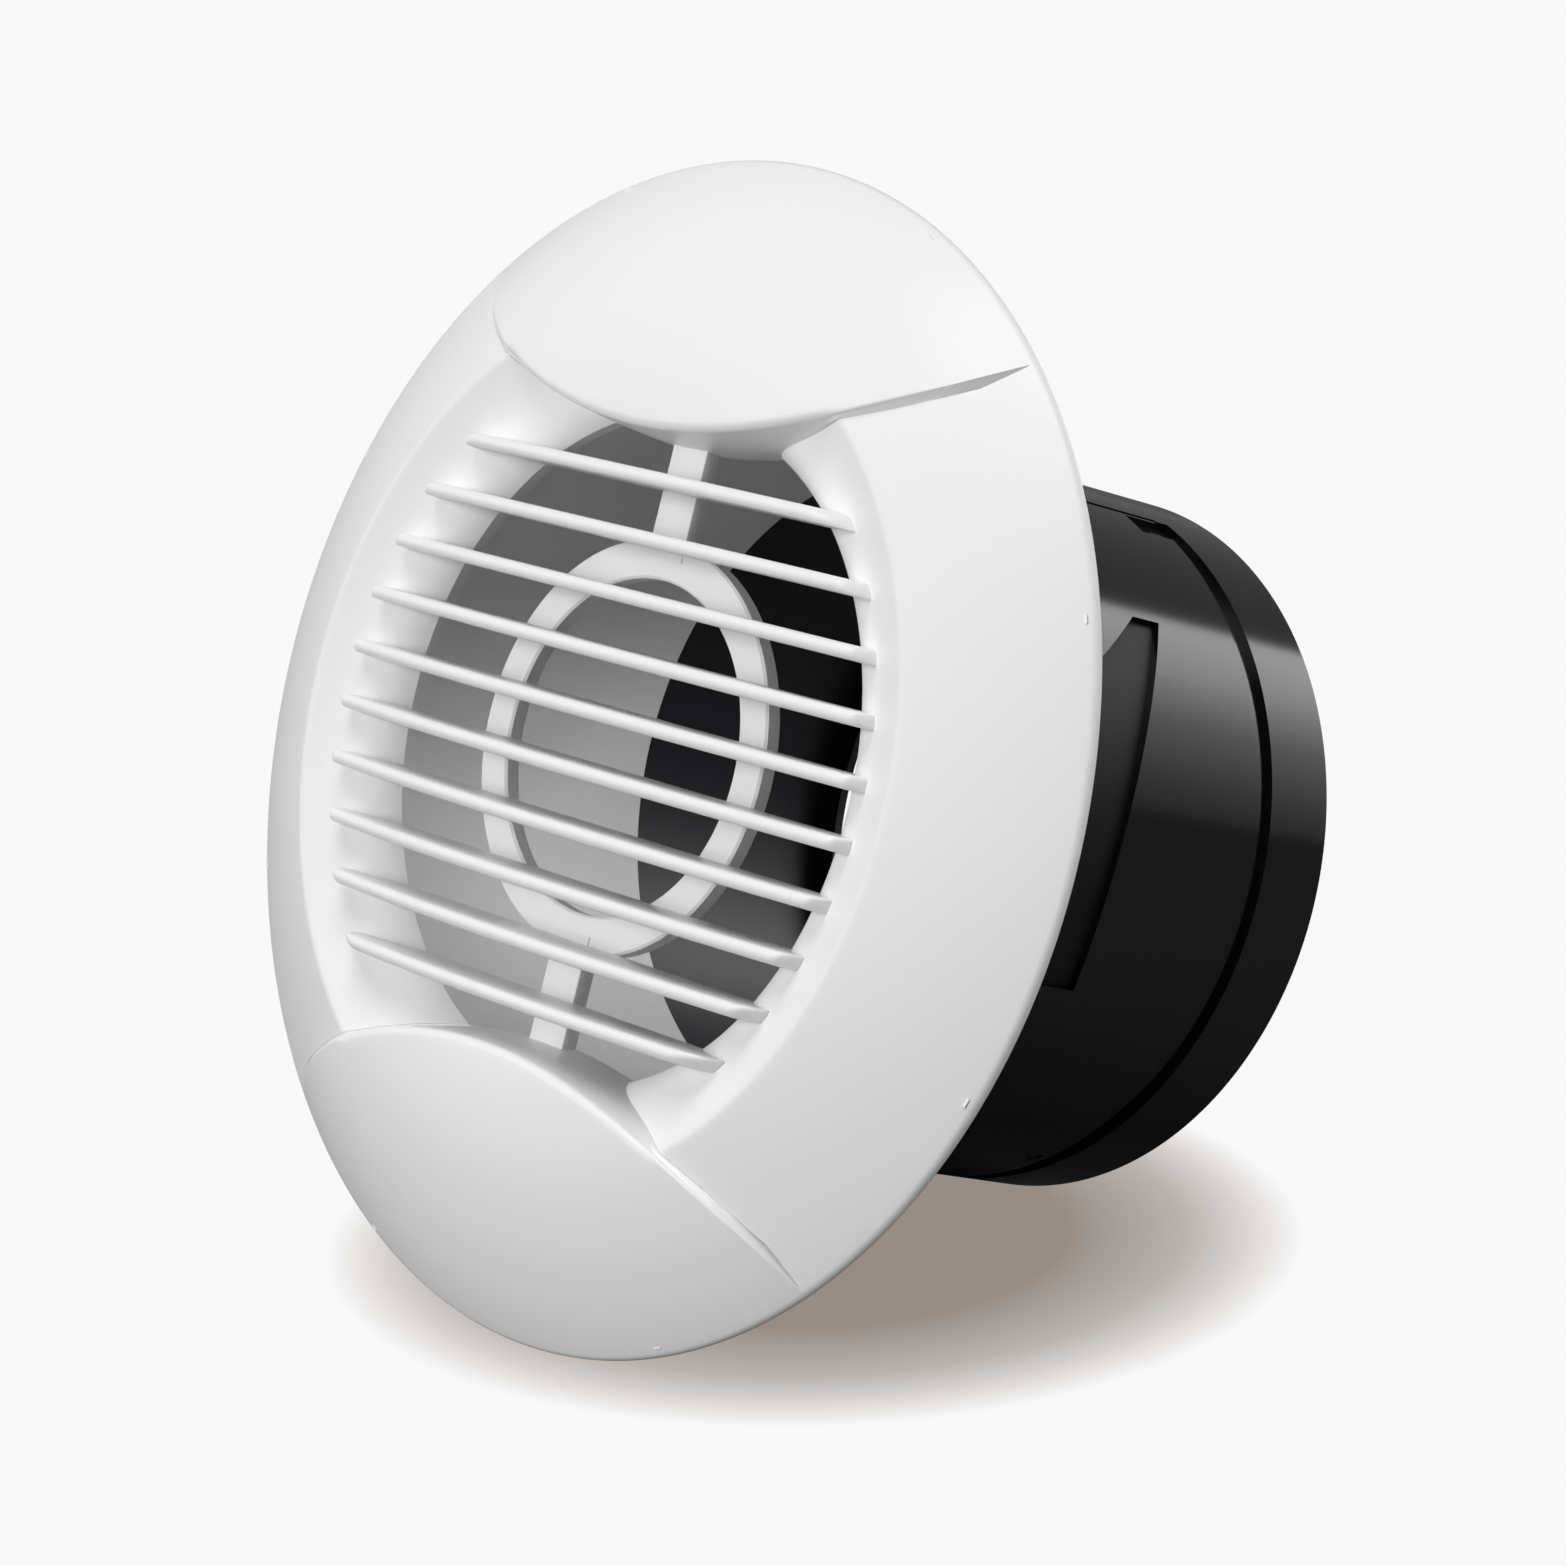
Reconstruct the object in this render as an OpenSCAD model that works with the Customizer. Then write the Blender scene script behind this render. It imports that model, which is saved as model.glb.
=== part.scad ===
// Round louvred vent grille with a round duct sleeve behind it.
// The duct axis runs along Y, the louvres face -Y and Z is up.
// The origin is on the axis, in the plane of the front panel's rear rim.
// Profiles are drawn as radius across and height up, where height is the distance in front of the rim.

/* [Front panel] */
// Diameter over the rim
panel_d = 200; // [190:1:220]
// Wall thickness of the moulded shell, measured along the axis
panel_wall = 2.2; // [1.6:0.1:2.8]
// Radius that rolls the outer edge over
rim_round = 1.8; // [1:0.1:3]
// Diameter of the ridge where the two side crescents turn into the recess
ridge_d = 145; // [135:1:155]
// Height of that ridge in front of the rim
ridge_h = 15.5; // [13:0.5:18]
// Radius of the crescents' slightly domed face
crescent_r = 134; // [110:1:200]

/* [Throat] */
// Diameter of the opening at the bottom of the recess
throat_d = 112; // [104:1:116]
// Height of the throat's edge in front of the rim
throat_h = 6.4; // [5:0.1:8]
// Radius that rolls the recess over into the throat
throat_round = 12; // [8:0.5:13]
// Slope of the surface at the throat's edge, in degrees
throat_slope = 60; // [50:1:70]

/* [Cover fields] */
// Height from the axis to the middle of each raised field's inner edge
field_edge_z = 51.6; // [48:0.1:54]
// Radius of that inner edge, seen from the front
field_edge_r = 108; // [95:1:130]
// Height of the inner edge in front of the rim
field_edge_h = 20.2; // [18.5:0.1:22]
// Radius of the field's dome along the middle
field_dome_r = 74.5; // [70:0.5:90]
// How far the wall below the inner edge leans in towards the throat's edge
field_lean = 1.4; // [0.4:0.1:2.5]
// Thickness of the wall below the inner edge
field_wall = 2; // [1.4:0.1:2.6]
// Radius that rounds the inner edge in the middle
field_round = 1.6; // [0.8:0.1:2]
// Width of the fine groove in the panel along the field's foot
foot_w = 0.5; // [0.3:0.1:0.8]
// Depth of that groove
foot_depth = 0.4; // [0.2:0.1:0.6]

/* [Louvres] */
// Number of slats
slat_count = 10; // [8:1:11]
// Distance from slat to slat
slat_pitch = 9.73; // [8.5:0.01:10]
// Thickness of a slat, whose front edge is fully rounded
slat_t = 2.4; // [1.8:0.1:3]
// Height of the slats' front in the middle of the grille
slat_front_h = 23.8; // [22:0.1:26]
// Radius of the front edge from side to side
slat_front_r = 267; // [220:1:350]
// Radius of the line through the slats' fronts from top to bottom
slat_stack_r = 480; // [400:5:700]
// Height of the slats' straight back edge
slat_back_h = 6.8; // [5.5:0.1:6.9]
// Radius that rounds the two ends of each slat
slat_end_round = 7; // [4:0.5:8]
// How far outside the start of the recess's cone the slats' ends lie
slat_end_sink = 2.5; // [1.5:0.1:3.5]
// Height at which the slats' rounded ends begin
slat_end_h = 19.3; // [18.8:0.1:20]

/* [Centre ring] */
// Outer diameter of the ring behind the slats
ring_d = 69.6; // [60:0.2:80]
// Width of the ring's face
ring_w = 6.6; // [4:0.1:9]
// Height of the ring's face
ring_h = 7; // [7:0.1:8]
// Thickness of the ring along the axis
ring_t = 3.2; // [2:0.1:4]
// Width of the two upright spokes
spoke_w = 8.7; // [6:0.1:12]
// How far the spokes' face stands in front of the ring's
spoke_rise = 0.4; // [0.2:0.1:0.8]
// Width of the ring's and spokes' edge bevel
ring_bevel = 0.4; // [0.2:0.1:0.6]

/* [Collar] */
// Inner diameter of the collar behind the throat
collar_bore = 117; // [112:0.5:117]
// Wall thickness of the collar
collar_wall = 1.4; // [1.2:0.1:1.6]
// Length of the collar behind the rim's plane
collar_l = 51.7; // [35:0.1:65]
// How far the collar's root shoulder stands out, as a stop for the sleeve
stop_w = 1.7; // [1:0.1:1.9]
// Number of stiffening ribs behind the panel
rib_count = 8; // [4:2:12]
// Thickness of a rib
rib_t = 1.5; // [1:0.1:2]

/* [Sleeve] */
// Wall thickness of the sleeve
sleeve_wall = 2; // [1.6:0.1:2.4]
// Clearance all round between the collar and the sleeve
sleeve_clear = 0.3; // [0.2:0.05:0.5]
// Length of the sleeve behind the rim's plane
sleeve_l = 100; // [85:1:150]
// How far the sleeve's front end reaches in front of the rim's plane
sleeve_lead = 2; // [0.5:0.5:3]
// Width of the bevel round the sleeve's rear outer edge
sleeve_bevel = 0.6; // [0.3:0.1:1]
// Inward width of the lip at the rear end
lip_w = 4.5; // [1:0.5:8]
// Thickness of that lip
lip_t = 1.8; // [1.2:0.1:3]
// Distance from the rear end to the rear edge of the ring groove
groove_from_rear = 15; // [10:0.5:25]
// Width of the ring groove
groove_w = 4; // [2:0.5:6]
// Depth of the groove and of the side pockets
groove_depth = 1.2; // [0.6:0.1:1.4]
// Angle of the plain strip on top, between the groove's two ends
strip_angle = 40; // [20:2:60]
// Angle that the fine line along each side of the strip covers
line_angle = 1; // [0.6:0.1:2]
// Depth of that fine line
line_depth = 0.4; // [0.2:0.1:0.6]
// Length of the notch that runs forward from each end of the groove
notch_l = 8; // [4:0.5:12]
// Angle that each notch covers
notch_angle = 6; // [4:1:10]

/* [Side pockets] */
// Distance from the rim's plane to the front of the pocket
pocket_y0 = 34; // [28:1:40]
// Distance from the rim's plane to the rear tip of the pocket
pocket_y1 = 61.5; // [55:0.5:70]
// Distance from the rim's plane to the start of the pocket's level top
pocket_top_y = 55; // [50:0.5:60]
// Height of the pocket's top above the axis
pocket_top = 41; // [35:0.5:45]
// Height at which the pocket's sloped front corner ends
pocket_slope_z = 26; // [20:1:32]
// Depth of the pocket's bottom below the axis
pocket_bottom = 21; // [10:1:35]
// Radius of the pocket's curved rear edge
pocket_r = 90; // [80:1:130]
// How far the centre of that curve lies below the axis
pocket_drop = 5; // [0:1:15]
// Diameter of the small round mark on each side, near the groove
mark_d = 3; // [2:0.5:5]
// Distance from the groove to the middle of the mark
mark_gap = 2.5; // [2:0.5:6]
// Angle of the mark below the level of the axis
mark_angle = 58; // [40:1:70]

/* [Hidden] */
$fn = 128;
// Overlap that joins two bodies which would otherwise only touch
eps = 0.01;
// Small offset that makes two outlines cross each other instead of running along each other
skew = 0.02;
// How far a cutting body reaches past the surface it cuts
over = 1;
panel_r = panel_d / 2;
ridge_r = ridge_d / 2;
throat_r = throat_d / 2;
ring_r = ring_d / 2;
collar_ri = collar_bore / 2;
collar_ro = collar_ri + collar_wall;
sleeve_ri = collar_ro + sleeve_clear;
sleeve_ro = sleeve_ri + sleeve_wall;
far = 2 * panel_d;
white = [0.93, 0.93, 0.92];
black = [0.1, 0.1, 0.1];

// Where two circles cross, on the left-hand side of the way from the first centre to the second
function cross(c1, r1, c2, r2) =
    let (d = norm(c2 - c1), u = (c2 - c1) / d, a = (r1 * r1 - r2 * r2 + d * d) / (2 * d))
    c1 + a * u + sqrt(r1 * r1 - a * a) * [-u[1], u[0]];

// Centre of the rolled rim
rim_c = [panel_r - rim_round, 0];
// Centre of the crescents' dome, which runs into the rolled rim and passes through the ridge
ridge = [ridge_r, ridge_h];
crescent_c = cross(rim_c, crescent_r - rim_round + skew, ridge, crescent_r);
// Centre of the raised fields' dome, which runs into the same rim
field_c = cross(rim_c, field_dome_r - rim_round + skew, [field_edge_z, field_edge_h], field_dome_r);
// Centre of the roll at the throat, and the point where the recess's cone runs into it
throat_c = [throat_r + throat_round * sin(throat_slope), throat_h - throat_round * cos(throat_slope)];
to_ridge = ridge - throat_c;
tangent_a = atan2(to_ridge[1], to_ridge[0]) + acos(throat_round / norm(to_ridge));
tangent = throat_c + throat_round * [cos(tangent_a), sin(tangent_a)];
cone_rise = (ridge[1] - tangent[1]) / (ridge[0] - tangent[0]);

// Turns a profile of radius and height into a solid about the duct axis
module turn() {
    rotate([90, 0, 0]) rotate_extrude() children();
}

// Everything below the front face of the crescents and the recess
module base_under() {
    out = panel_r - rim_round / 2;
    start = [tangent[0], tangent[1] - skew];
    intersection() {
        translate(crescent_c) circle(crescent_r, $fn = 256);
        union() {
            translate(throat_c) circle(throat_round);
            polygon([
                start, [out, start[1] + cone_rise * (out - start[0])], [out, -panel_d], [start[0], -panel_d]
            ]);
            translate(rim_c) circle(rim_round, $fn = 48);
        }
    }
}

// Everything below the front face of the raised fields
module field_under() {
    out = panel_r - rim_round / 2;
    intersection() {
        translate(field_c) circle(field_dome_r, $fn = 256);
        union() {
            translate([0, -panel_d]) square([out, 2 * panel_d]);
            translate(rim_c) circle(rim_round, $fn = 48);
        }
    }
}

// Part of a profile in front of the rim's plane and outside a radius
module in_front(inner_r) {
    intersection() {
        children();
        translate([inner_r, 0]) square([panel_d, panel_d]);
    }
}

// The hollow behind a face, open at the rear
module hollow() {
    intersection() {
        translate([0, -panel_wall]) children();
        translate([0, -panel_d]) square([panel_r - panel_wall, 2 * panel_d]);
    }
}

module base_section() {
    difference() {
        in_front(throat_r) base_under();
        hollow() base_under();
    }
}

module field_section() {
    difference() {
        in_front(throat_r / 2) field_under();
        hollow() field_under();
    }
}

// A block behind the inner edge of one raised field, set back by inset; it leans in towards the back
module field_block(inset, side) {
    reach = field_edge_z + field_edge_r;
    lean_rate = field_lean / (field_edge_h - throat_h);
    front = slat_front_h + field_edge_h;
    translate([0, 0, side * reach]) rotate([90, 0, 0])
        cylinder(h = front, r1 = field_edge_r - inset + lean_rate * field_edge_h,
            r2 = field_edge_r - inset - lean_rate * (front - field_edge_h), $fn = 256);
}

// Space behind the rounded inner edge of one raised field
module field_round_space(side) {
    reach = field_edge_z + field_edge_r;
    round_c = [field_edge_r - field_round + skew, field_edge_h - field_round];
    translate([0, 0, side * reach]) rotate([90, 0, 0]) rotate_extrude($fn = 256) {
        square([round_c[0], field_edge_h + field_round]);
        square([field_edge_r + field_edge_h, round_c[1] - skew]);
        translate(round_c) circle(field_round, $fn = 48);
    }
}

// Fine groove along the foot of one raised field, with its floor level with the panel's face
module foot_groove(side) {
    intersection() {
        difference() {
            field_block(-foot_w, side);
            field_block(foot_w, side);
        }
        turn() difference() {
            translate([throat_r, throat_h]) square([rim_c[0] - throat_r - foot_w, panel_d]);
            translate([0, -foot_depth]) base_under();
        }
    }
}

// Crescents and recess, cut away behind the raised fields
module side_shell() {
    difference() {
        turn() base_section();
        for (side = [-1, 1]) {
            field_block(field_wall / 2, side);
            foot_groove(side);
        }
    }
}

// One raised field with the wall below its inner edge
module cover_field(side) {
    intersection() {
        union() {
            turn() field_section();
            difference() {
                turn() difference() {
                    in_front(throat_r / 2) field_under();
                    translate([0, -panel_wall]) base_under();
                    square([throat_r, throat_h - panel_wall]);
                }
                field_block(field_wall, side);
            }
        }
        field_block(0, side);
        field_round_space(side);
    }
}

// Flat web that closes the gap between the wall of a raised field and the collar
module field_web(side) {
    intersection() {
        turn() translate([throat_r / 2, throat_h - panel_wall])
            square([collar_ro - throat_r / 2, panel_wall]);
        field_block(0, side);
    }
}

// Collar behind the throat, with a root shoulder that stops the sleeve
module collar() {
    root = throat_h - panel_wall + eps;
    turn() {
        translate([collar_ri, -collar_l]) square([collar_wall, collar_l + root]);
        translate([collar_ri, sleeve_lead])
            square([collar_wall + stop_w, root - sleeve_lead]);
        intersection() {
            translate([collar_ri, 0]) square([collar_wall, far]);
            base_under();
        }
    }
}

module slat(z) {
    front = slat_front_h - (slat_stack_r - sqrt(slat_stack_r * slat_stack_r - z * z));
    inner = slat_front_r - slat_front_h;
    half = asin(ridge_r / slat_front_r);
    translate([0, slat_front_r - front, z]) rotate([0, 0, -90 - half])
        rotate_extrude(angle = 2 * half, $fn = 512) {
            translate([inner, -slat_t / 2]) square([slat_front_h - slat_t / 2, slat_t]);
            translate([slat_front_r - slat_t / 2, 0]) circle(slat_t / 2, $fn = 24);
        }
}

// Space that the slats fill: behind rounded ends, in front of their straight back, inside the recess
module slat_space() {
    end_r = tangent[0] + slat_end_sink;
    round_c = [end_r - slat_end_round, slat_end_h - slat_end_round];
    turn() difference() {
        union() {
            translate([0, slat_back_h]) square([round_c[0], far]);
            translate([round_c[0], slat_back_h]) square([slat_end_round, round_c[1] - slat_back_h]);
            translate(round_c) circle(slat_end_round, $fn = 48);
        }
        translate([0, -panel_wall / 2]) base_under();
    }
}

module slats() {
    intersection() {
        for (i = [0 : slat_count - 1])
            slat((i - (slat_count - 1) / 2) * slat_pitch);
        slat_space();
    }
}

// Ring behind the slats and the two spokes that tie it to the raised fields
module centre_ring() {
    turn() translate([ring_r - ring_w, ring_h - ring_t]) polygon([
        [0, 0], [ring_w, 0], [ring_w, ring_t - ring_bevel], [ring_w - ring_bevel, ring_t],
        [ring_bevel, ring_t], [0, ring_t - ring_bevel]
    ]);
    spoke_h = ring_h + spoke_rise;
    for (side = [-1, 1])
        intersection() {
            translate([-spoke_w / 2, -spoke_h, side > 0 ? ring_r - ring_w / 2 : -far])
                cube([spoke_w, ring_t, far - ring_r + ring_w / 2]);
            difference() {
                cube([far, far, 2 * field_edge_z], center = true);
                field_block(field_wall / 2, side);
            }
        }
}

module ribs() {
    inner_r = collar_ro + stop_w - eps;
    for (i = [0 : rib_count - 1])
        rotate([0, (i + 0.5) * 360 / rib_count, 0])
            intersection() {
                translate([inner_r, -far, -rib_t / 2])
                    cube([panel_r - inner_r - panel_wall / 2, far, rib_t]);
                turn() difference() {
                    in_front(throat_r) translate([0, -panel_wall / 2]) base_under();
                    square([panel_d, sleeve_lead]);
                }
            }
}

module front_panel() {
    color(white) {
        side_shell();
        for (side = [-1, 1]) {
            cover_field(side);
            field_web(side);
        }
        collar();
        slats();
        centre_ring();
        ribs();
    }
}

// Plan of one side pocket, seen from the side with the front to the left
module pocket_plan() {
    arc_c = [pocket_y1 + sqrt(pocket_r * pocket_r - pow(pocket_top + pocket_drop, 2)), -pocket_drop];
    difference() {
        polygon([
            [pocket_y0, -pocket_bottom], [pocket_y0, pocket_slope_z], [pocket_top_y, pocket_top],
            [pocket_y1, pocket_top], [pocket_y1, -pocket_bottom]
        ]);
        translate(arc_c) circle(pocket_r);
    }
}

module pocket() {
    floor_r = sleeve_ro - groove_depth;
    difference() {
        rotate([90, 0, 90]) linear_extrude(sleeve_ro + over) pocket_plan();
        translate([0, -over, 0]) rotate([-90, 0, 0]) cylinder(h = far, r = floor_r, $fn = 256);
    }
}

// Shallow round mark low on one side of the sleeve, in front of the ring groove
module mark() {
    y = sleeve_l - groove_from_rear - groove_w - mark_gap;
    rotate([0, mark_angle, 0]) translate([sleeve_ro - line_depth, y, 0]) rotate([0, 90, 0])
        cylinder(h = line_depth + over, d = mark_d, $fn = 32);
}

// Ring-shaped cut from the outside, between two distances behind the rim and over an angle
module outer_cut(y0, y1, depth, from, to) {
    rotate([0, -from, 0]) rotate([-90, 0, 0]) translate([0, 0, y0])
        rotate_extrude(angle = -(to - from), $fn = 256)
            translate([sleeve_ro - depth, 0]) square([depth + over, y1 - y0]);
}

module sleeve_section() {
    full_l = sleeve_l + sleeve_lead;
    translate([sleeve_ri, -sleeve_l]) polygon([
        [0, lip_t], [-lip_w, lip_t], [-lip_w, 0], [sleeve_wall - sleeve_bevel, 0],
        [sleeve_wall, sleeve_bevel], [sleeve_wall, full_l], [0, full_l]
    ]);
}

module sleeve() {
    groove_y1 = sleeve_l - groove_from_rear;
    groove_y0 = groove_y1 - groove_w;
    strip = strip_angle / 2;
    color(black) difference() {
        turn() sleeve_section();
        outer_cut(groove_y0, groove_y1, groove_depth, strip - 270, 90 - strip);
        for (side = [0, 1])
            mirror([side, 0, 0]) {
                outer_cut(groove_y0 - notch_l, groove_y0 + over, groove_depth,
                    90 - strip - notch_angle, 90 - strip - line_angle);
                outer_cut(-sleeve_lead - over, groove_y0 + over, line_depth,
                    90 - strip - line_angle / 2, 90 - strip + line_angle / 2);
                pocket();
                mark();
            }
    }
}

front_panel();
sleeve();
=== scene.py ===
# %% [markdown]
# # A round vent grille with a duct sleeve
#
# The grille is one white moulding: a domed round front, ten level louvres in a recess and a collar behind.
# A glossy black sleeve is pushed over the collar and goes into the duct.
#
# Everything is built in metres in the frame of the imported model: Y runs along the duct into the wall,
# Z is up and the origin is on the axis, in the plane of the rim. `front` in the text below is the height
# of a point in front of that plane, so front = -Y.

# %%
import math

import bmesh
import bpy
import numpy as np
from mathutils import Matrix, Vector


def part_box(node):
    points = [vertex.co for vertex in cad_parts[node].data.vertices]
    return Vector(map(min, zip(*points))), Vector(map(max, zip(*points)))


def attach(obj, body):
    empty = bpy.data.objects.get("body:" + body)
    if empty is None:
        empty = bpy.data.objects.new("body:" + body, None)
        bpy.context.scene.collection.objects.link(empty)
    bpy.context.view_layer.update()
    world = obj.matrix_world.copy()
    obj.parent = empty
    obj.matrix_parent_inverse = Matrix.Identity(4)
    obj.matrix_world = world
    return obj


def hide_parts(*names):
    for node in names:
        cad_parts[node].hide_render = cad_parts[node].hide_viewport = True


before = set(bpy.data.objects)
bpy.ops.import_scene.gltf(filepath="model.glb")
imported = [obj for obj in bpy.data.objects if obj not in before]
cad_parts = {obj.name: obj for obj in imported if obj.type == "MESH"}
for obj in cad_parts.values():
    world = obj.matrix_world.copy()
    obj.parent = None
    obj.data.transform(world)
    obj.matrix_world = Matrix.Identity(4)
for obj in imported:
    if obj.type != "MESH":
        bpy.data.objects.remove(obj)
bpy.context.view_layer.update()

MM = 0.001
panel_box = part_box("front_panel")
sleeve_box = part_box("sleeve")
print("rim diameter, mm:", round((panel_box[1][0] - panel_box[0][0]) / MM, 1))
print("sleeve diameter, mm:", round((sleeve_box[1][0] - sleeve_box[0][0]) / MM, 1))

# %% [markdown]
# ## Driving sizes
#
# The same numbers that drive the solids, in millimetres. The front face is described by profiles turned
# about the duct axis, so each surface needs only a few radii and heights.

# %%
PANEL_R = panel_box[1][0] / MM
WALL = 2.2
RIM_ROUND = 1.8
RIDGE = (72.5, 15.5)
CRESCENT_R = 134
THROAT_R = 56
THROAT_FRONT = 6.4
THROAT_ROUND = 12
THROAT_SLOPE = math.radians(60)
FIELD_EDGE_Z = 51.6
FIELD_EDGE_R = 108
FIELD_EDGE_FRONT = 20.2
FIELD_DOME_R = 74.5
FIELD_LEAN = 1.4
FIELD_WALL = 2
FIELD_ROUND = 1.6
GROOVE_W = 0.5
GROOVE_DEPTH = 0.4
RIDGE_SOFTNESS = 0.22

SLAT_COUNT = 10
SLAT_PITCH = 9.73
SLAT_T = 2.4
SLAT_FRONT = 23.8
SLAT_BOW = 1 / (2 * 267)
SLAT_STACK_BOW = 1 / (2 * 480)
SLAT_BACK = 6.8
SLAT_END_R = 64.7
SLAT_END_ROUND = 7
SLAT_END_FRONT = 19.3

RING_R = 34.8
RING_W = 6.6
RING_FRONT = 7
RING_T = 3.2
SPOKE_W = 8.7
SPOKE_FRONT = 7.4
RING_BEVEL = 0.4

COLLAR_BORE_R = 58.5
COLLAR_WALL = 1.4
COLLAR_L = 51.7
STOP_W = 1.7
RIB_COUNT = 8
RIB_T = 1.5

SLEEVE_R = sleeve_box[1][0] / MM
SLEEVE_WALL = 2
SLEEVE_L = sleeve_box[1][1] / MM
SLEEVE_LEAD = 2
LIP_W = 4.5
LIP_T = 1.8


# %% [markdown]
# ## Helpers
#
# A mesh goes from numpy points in millimetres to a finished object: doubles merged, normals outward,
# faces smooth except across sharp edges.

# %%
def srgb(code):
    """Linear colour of a six-digit sRGB hex code."""
    channels = [int(code[i:i + 2], 16) / 255 for i in (0, 2, 4)]
    linear = [c / 12.92 if c <= 0.04045 else ((c + 0.055) / 1.055) ** 2.4 for c in channels]
    return (*linear, 1.0)


def add_node(tree, kind, x=0, y=0, **values):
    """Adds a node; attributes are set by name, and sockets by their name with spaces as underscores."""
    node = tree.nodes.new(kind)
    node.location = (x, y)
    for name, value in values.items():
        if hasattr(node, name) and name not in node.inputs:
            setattr(node, name, value)
        else:
            node.inputs[name.replace("_", " ")].default_value = value
    return node


def finish_mesh(mesh, sharp=35):
    """Merges doubles, turns normals outward and marks the edges that stay sharp."""
    bm = bmesh.new()
    bm.from_mesh(mesh)
    bmesh.ops.remove_doubles(bm, verts=bm.verts, dist=1e-6)
    bmesh.ops.dissolve_degenerate(bm, edges=bm.edges, dist=1e-7)
    bmesh.ops.recalc_face_normals(bm, faces=bm.faces)
    for face in bm.faces:
        face.smooth = True
    for edge in bm.edges:
        edge.smooth = not (edge.is_manifold and edge.calc_face_angle(0) > math.radians(sharp))
    bm.to_mesh(mesh)
    bm.free()
    mesh.validate()
    return mesh


def add_piece(name, mesh, material, node):
    """Shows a mesh as part of the object, standing for one CAD node."""
    piece = bpy.data.objects.new(name, mesh)
    bpy.context.collection.objects.link(piece)
    if not mesh.materials:
        mesh.materials.append(material)
    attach(piece, "root")
    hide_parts(node)
    print(name, "faces:", len(mesh.polygons))
    return piece


def grid_mesh(name, points, close_u=False, close_v=False):
    """Mesh over a grid of points, rows by columns by three, in millimetres."""
    rows, columns = points.shape[:2]
    u = np.arange(rows if close_u else rows - 1)
    v = np.arange(columns if close_v else columns - 1)
    a, b = np.meshgrid(u, v, indexing="ij")
    a2, b2 = (a + 1) % rows, (b + 1) % columns
    quads = np.stack([a * columns + b, a2 * columns + b, a2 * columns + b2, a * columns + b2], axis=-1)
    mesh = bpy.data.meshes.new(name)
    mesh.from_pydata((points.reshape(-1, 3) * MM).tolist(), [], quads.reshape(-1, 4).tolist())
    return mesh


def turned(profile, angles):
    """Points of a profile of (radius, front) pairs turned to each angle about the duct axis."""
    profile = np.asarray(profile, float)
    r, front = profile[:, 0], profile[:, 1]
    a = np.asarray(angles)[:, None]
    return np.stack([r * np.cos(a), np.broadcast_to(-front, (a.shape[0], r.size)), r * np.sin(a)], axis=-1)


def all_round(steps):
    """Evenly spaced angles for a full turn."""
    return np.arange(steps) * 2 * math.pi / steps


# %% [markdown]
# ## White moulded plastic
#
# The grille's plastic is a bright neutral white with a soft sheen. A very fine noise in the bump gives the
# skin that a moulded part has, at a scale of a few tenths of a millimetre, too small to see as a pattern.

# %%
def plastic(name, colour, roughness, grain_mm, grain_depth, coat=0.0):
    """Moulded plastic with a fine skin; the grain's size is in millimetres."""
    material = bpy.data.materials.new(name)
    material.use_nodes = True
    tree = material.node_tree
    tree.nodes.clear()
    out = add_node(tree, "ShaderNodeOutputMaterial", 600, 0)
    shader = add_node(tree, "ShaderNodeBsdfPrincipled", 300, 0, Base_Color=srgb(colour), Roughness=roughness,
                      Coat_Weight=coat, Coat_Roughness=0.08)
    where = add_node(tree, "ShaderNodeTexCoord", -600, 0)
    grain = add_node(tree, "ShaderNodeTexNoise", -300, 0, Scale=1 / (grain_mm * MM), Detail=2.0)
    bump = add_node(tree, "ShaderNodeBump", 0, -200, Strength=1.0, Distance=grain_depth * MM)
    tree.links.new(where.outputs["Object"], grain.inputs["Vector"])
    tree.links.new(grain.outputs["Fac"], bump.inputs["Height"])
    tree.links.new(bump.outputs["Normal"], shader.inputs["Normal"])
    tree.links.new(shader.outputs["BSDF"], out.inputs["Surface"])
    return material


# White moulded plastic of the grille, satin.
white_plastic = plastic("white_grille_plastic", "F1F1F1", 0.34, 0.8, 0.0012)
# Black plastic of the sleeve, polished.
black_plastic = plastic("black_sleeve_plastic", "111113", 0.13, 3.0, 0.0015)
# The same black plastic where the mould was left matt, in the floors of the side pockets.
matt_black_plastic = plastic("matt_black_pocket_plastic", "0D0D0E", 0.6, 0.5, 0.01)
# The duller black of the tube's inside, which the mould's core left less polished. Its lighter, purplish tone
# is painted light: it stands in for the dim light seen inside the tube and is not a colour of the plastic.
bore_black_painted_lighter = plastic("black_bore_plastic_painted_lighter", "242128", 0.42, 1.0, 0.004)
print("materials:", [m.name for m in bpy.data.materials])


# %% [markdown]
# ## The front face as heights
#
# Crescents, recess and raised fields are all surfaces turned about the axis, so each is a height for a
# radius. The crescents' dome and the recess's cone meet in a ridge, which a soft minimum rounds by about
# a millimetre and a half, as a mould would.

# %%
def cross(c1, r1, c2, r2):
    """Where two circles cross, on the left of the way from the first centre to the second."""
    c1, c2 = np.array(c1, float), np.array(c2, float)
    d = np.linalg.norm(c2 - c1)
    u = (c2 - c1) / d
    a = (r1 * r1 - r2 * r2 + d * d) / (2 * d)
    return c1 + a * u + math.sqrt(r1 * r1 - a * a) * np.array([-u[1], u[0]])


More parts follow.
